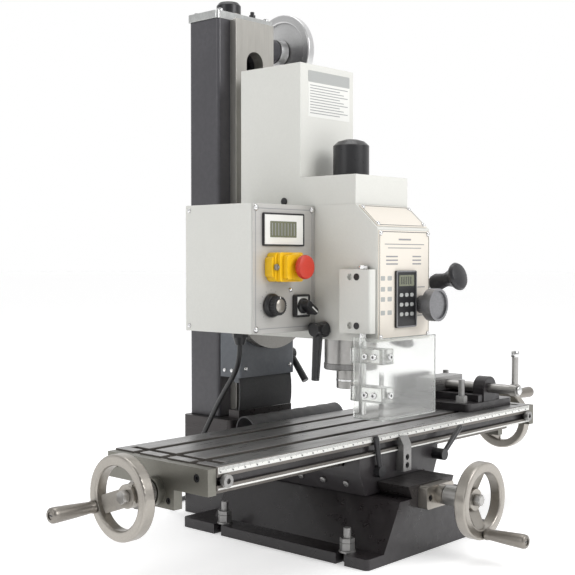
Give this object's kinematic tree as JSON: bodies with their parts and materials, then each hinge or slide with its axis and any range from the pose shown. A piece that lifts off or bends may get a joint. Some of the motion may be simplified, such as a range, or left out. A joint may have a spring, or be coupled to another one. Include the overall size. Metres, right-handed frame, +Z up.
{
  "type": "vertical milling machine",
  "caption": "Bench vertical milling machine: dovetail column, tilting head with quill feed, compound table with handwheels, vise, chip guard and control box.",
  "frame": {"origin": "on the underside of the base, straight below the axis of the upright spindle", "axes": "+Z up, -Y towards the operator, +X to the operator's right along the table's travel"},
  "size_m": [0.968, 0.668, 0.7885],
  "materials": {
    "black_plastic": "moulded",
    "bronze": "machined",
    "brushed_plate": "brushed plate",
    "clear_plastic": "clear polycarbonate",
    "cord_pvc": "PVC jacket",
    "cream_plate": "printed plate",
    "ground_iron": "ground and oiled",
    "painted_iron_dark": "black gloss enamel on cast iron",
    "painted_iron_grey": "blue-grey enamel on cast iron",
    "painted_light": "light grey enamel",
    "red_plastic": "moulded",
    "rubber": "matt sheet rubber",
    "satin_aluminium": "turned and polished rim",
    "steel": "machined",
    "yellow_plastic": "moulded"
  },
  "bodies": {
    "root": {"base": "painted_iron_dark", "hold_down_studs": "steel", "y_screw_bracket": "satin_aluminium", "column": "painted_iron_dark", "column_cap": "painted_light", "z_bearing_cap": "black_plastic", "z_wheel_bracket": "painted_iron_dark", "y_way_cover": "rubber", "z_way_cover": "rubber", "power_cord": "cord_pvc", "cord_coil": "cord_pvc", "cord_plug": "cord_pvc"},
    "saddle": {"saddle": "painted_iron_grey", "gibs_and_nuts": "bronze", "stop_block": "steel"},
    "table_lock": {"table_lock_lever": "black_plastic"},
    "saddle_lock": {"saddle_lock_lever": "black_plastic"},
    "table": {"table": "ground_iron", "end_brackets": "satin_aluminium", "table_fasteners": "steel", "vise_body": "painted_iron_dark"},
    "x_drive": {"x_screw": "steel", "x_handwheels": "satin_aluminium"},
    "x_grip_l": {"x_grip_left": "steel"},
    "x_grip_r": {"x_grip_right": "steel"},
    "y_drive": {"y_screw": "steel", "y_handwheel": "satin_aluminium"},
    "y_grip": {"y_grip": "steel"},
    "z_screw": {"z_screw": "steel"},
    "z_drive": {"z_handwheel": "satin_aluminium"},
    "z_grip": {"z_grip": "steel"},
    "carriage": {"z_carriage": "painted_iron_grey", "z_nut": "bronze"},
    "z_lock": {"z_lock_lever": "black_plastic"},
    "head": {"head_casting": "painted_light", "tilt_bolts": "steel", "front_panel": "cream_plate", "drive_cover": "painted_light", "drawbar_cap": "black_plastic", "motor": "black_plastic", "drive_belt": "rubber", "control_box": "painted_light", "control_plate": "brushed_plate", "switch_housing": "yellow_plastic", "cord_gland": "black_plastic", "guard_bracket": "painted_light"},
    "motor_rotor": {"motor_pulley": "steel"},
    "spindle_pulley": {"spindle_pulley": "steel"},
    "stop_knob": {"stop_knob": "red_plastic"},
    "speed_knob": {"speed_knob": "black_plastic"},
    "range_switch": {"range_switch": "black_plastic"},
    "quill_lock": {"quill_lock_lever": "black_plastic"},
    "guard": {"chip_guard": "clear_plastic"},
    "quill": {"quill": "steel"},
    "spindle": {"spindle": "steel"},
    "capstan": {"capstan": "steel", "capstan_knobs": "black_plastic"},
    "fine_feed": {"fine_feed_knob": "black_plastic"},
    "vise_jaw": {"vise_jaw": "ground_iron"},
    "vise_screw": {"vise_screw": "steel"}
  },
  "joints": [
    {"name": "x_handwheel_turn", "type": "hinge", "parent": "table", "child": "x_drive", "pos_m": [0, 0.002, 0.117], "axis": [1, 0, 0], "range_deg": [-42751, 42751]},
    {"name": "table_slide", "type": "slide", "parent": "saddle", "child": "table", "axis": [-1, 0, 0], "range_m": [-0.2375, 0.2375]},
    {"name": "x_grip_left_spin", "type": "hinge", "parent": "x_drive", "child": "x_grip_l", "pos_m": [-0.45, 0.04121, 0.10195], "axis": [1, 0, 0], "continuous": true},
    {"name": "x_grip_right_spin", "type": "hinge", "parent": "x_drive", "child": "x_grip_r", "pos_m": [0.45, -0.01236, 0.15647], "axis": [1, 0, 0], "continuous": true},
    {"name": "y_handwheel_turn", "type": "hinge", "parent": "root", "child": "y_drive", "pos_m": [0, -0.214, 0.077], "axis": [0, -1, 0], "range_deg": [-18001, 12601]},
    {"name": "saddle_slide", "type": "slide", "parent": "root", "child": "saddle", "axis": [0, 1, 0], "range_m": [-0.1, 0.07], "deforming": ["y_way_cover"]},
    {"name": "y_grip_spin", "type": "hinge", "parent": "y_drive", "child": "y_grip", "pos_m": [0, -0.25, 0.035], "axis": [0, -1, 0], "continuous": true},
    {"name": "z_handwheel_turn", "type": "hinge", "parent": "root", "child": "z_drive", "pos_m": [0.126, 0.245, 0.726], "axis": [1, 0, 0], "range_deg": [-3601, 54001]},
    {"name": "carriage_slide", "type": "slide", "parent": "root", "child": "carriage", "axis": [0, 0, 1], "range_m": [-0.02, 0.3], "deforming": ["z_way_cover", "power_cord"]},
    {"name": "z_screw_turn", "type": "hinge", "parent": "root", "child": "z_screw", "pos_m": [0, 0.245, 0.726], "axis": [0, 0, 1], "range_deg": [-3601, 54001]},
    {"name": "z_grip_spin", "type": "hinge", "parent": "z_drive", "child": "z_grip", "pos_m": [0.16, 0.245, 0.6715], "axis": [1, 0, 0], "continuous": true},
    {"name": "table_lock_turn", "type": "hinge", "parent": "saddle", "child": "table_lock", "pos_m": [-0.052, -0.092, 0.106], "axis": [0, 1, 0], "range_deg": [-25, 25]},
    {"name": "saddle_lock_turn", "type": "hinge", "parent": "saddle", "child": "saddle_lock", "pos_m": [0.082, -0.092, 0.112], "axis": [0, 1, 0], "range_deg": [-15, 45]},
    {"name": "carriage_lock_turn", "type": "hinge", "parent": "carriage", "child": "z_lock", "pos_m": [0.069, 0.178, 0.24], "axis": [1, 0, 0], "range_deg": [-30, 40]},
    {"name": "head_tilt", "type": "hinge", "parent": "carriage", "child": "head", "pos_m": [0, 0.15, 0.339], "axis": [0, -1, 0], "range_deg": [-45, 45], "deforming": ["power_cord"]},
    {"name": "fine_feed_turn", "type": "hinge", "parent": "head", "child": "fine_feed", "pos_m": [0.036, -0.1, 0.326], "axis": [0, -1, 0], "range_deg": [-1, 7201]},
    {"name": "quill_feed", "type": "slide", "parent": "head", "child": "quill", "axis": [0, 0, -1], "range_m": [0, 0.05]},
    {"name": "capstan_turn", "type": "hinge", "parent": "head", "child": "capstan", "pos_m": [0.05, -0.048, 0.345], "axis": [1, 0, 0], "range_deg": [-0.5, 239.23]},
    {"name": "spindle_spin", "type": "hinge", "parent": "quill", "child": "spindle", "pos_m": [0, 0, 0.3], "axis": [0, 0, 1], "continuous": true},
    {"name": "spindle_pulley_spin", "type": "hinge", "parent": "head", "child": "spindle_pulley", "pos_m": [0, 0, 0.48], "axis": [0, 0, 1], "continuous": true},
    {"name": "motor_spin", "type": "hinge", "parent": "head", "child": "motor_rotor", "pos_m": [0, 0.1, 0.48], "axis": [0, 0, 1], "continuous": true},
    {"name": "stop_press", "type": "slide", "parent": "head", "child": "stop_knob", "axis": [0, 1, 0], "range_m": [0, 0.005], "stiffness_N_per_m": 400},
    {"name": "speed_turn", "type": "hinge", "parent": "head", "child": "speed_knob", "pos_m": [-0.148, 0.01, 0.327], "axis": [0, 1, 0], "range_deg": [0, 270]},
    {"name": "range_turn", "type": "hinge", "parent": "head", "child": "range_switch", "pos_m": [-0.091, 0.01, 0.325], "axis": [0, 1, 0], "range_deg": [-90, 0]},
    {"name": "quill_lock_turn", "type": "hinge", "parent": "head", "child": "quill_lock", "pos_m": [-0.07, -0.002, 0.292], "axis": [1, 0, 0], "range_deg": [-30, 15]},
    {"name": "guard_swing", "type": "hinge", "parent": "head", "child": "guard", "pos_m": [-0.067, -0.0745, 0.3], "axis": [0, 0, 1], "range_deg": [-110, 0]},
    {"name": "vise_screw_turn", "type": "hinge", "parent": "table", "child": "vise_screw", "pos_m": [0.265, -0.1, 0.187], "axis": [0, -1, 0], "range_deg": [-1, 3361]},
    {"name": "vise_jaw_slide", "type": "slide", "parent": "table", "child": "vise_jaw", "axis": [0, 1, 0], "range_m": [0, 0.028]}
  ],
  "couplings": [
    {"joint": "x_handwheel_turn", "follows": "table_slide", "rad_per_m": 3141.6},
    {"joint": "y_handwheel_turn", "follows": "saddle_slide", "rad_per_m": 3141.6},
    {"joint": "z_handwheel_turn", "follows": "carriage_slide", "rad_per_m": 3141.6},
    {"joint": "z_screw_turn", "follows": "carriage_slide", "rad_per_m": 3141.6},
    {"joint": "fine_feed_turn", "follows": "quill_feed", "rad_per_m": 2513.3},
    {"joint": "capstan_turn", "follows": "quill_feed", "rad_per_m": 83.333},
    {"joint": "spindle_pulley_spin", "follows": "spindle_spin", "ratio": 1},
    {"joint": "motor_spin", "follows": "spindle_spin", "ratio": 1.4167},
    {"joint": "vise_screw_turn", "follows": "vise_jaw_slide", "rad_per_m": 2094.4}
  ]
}
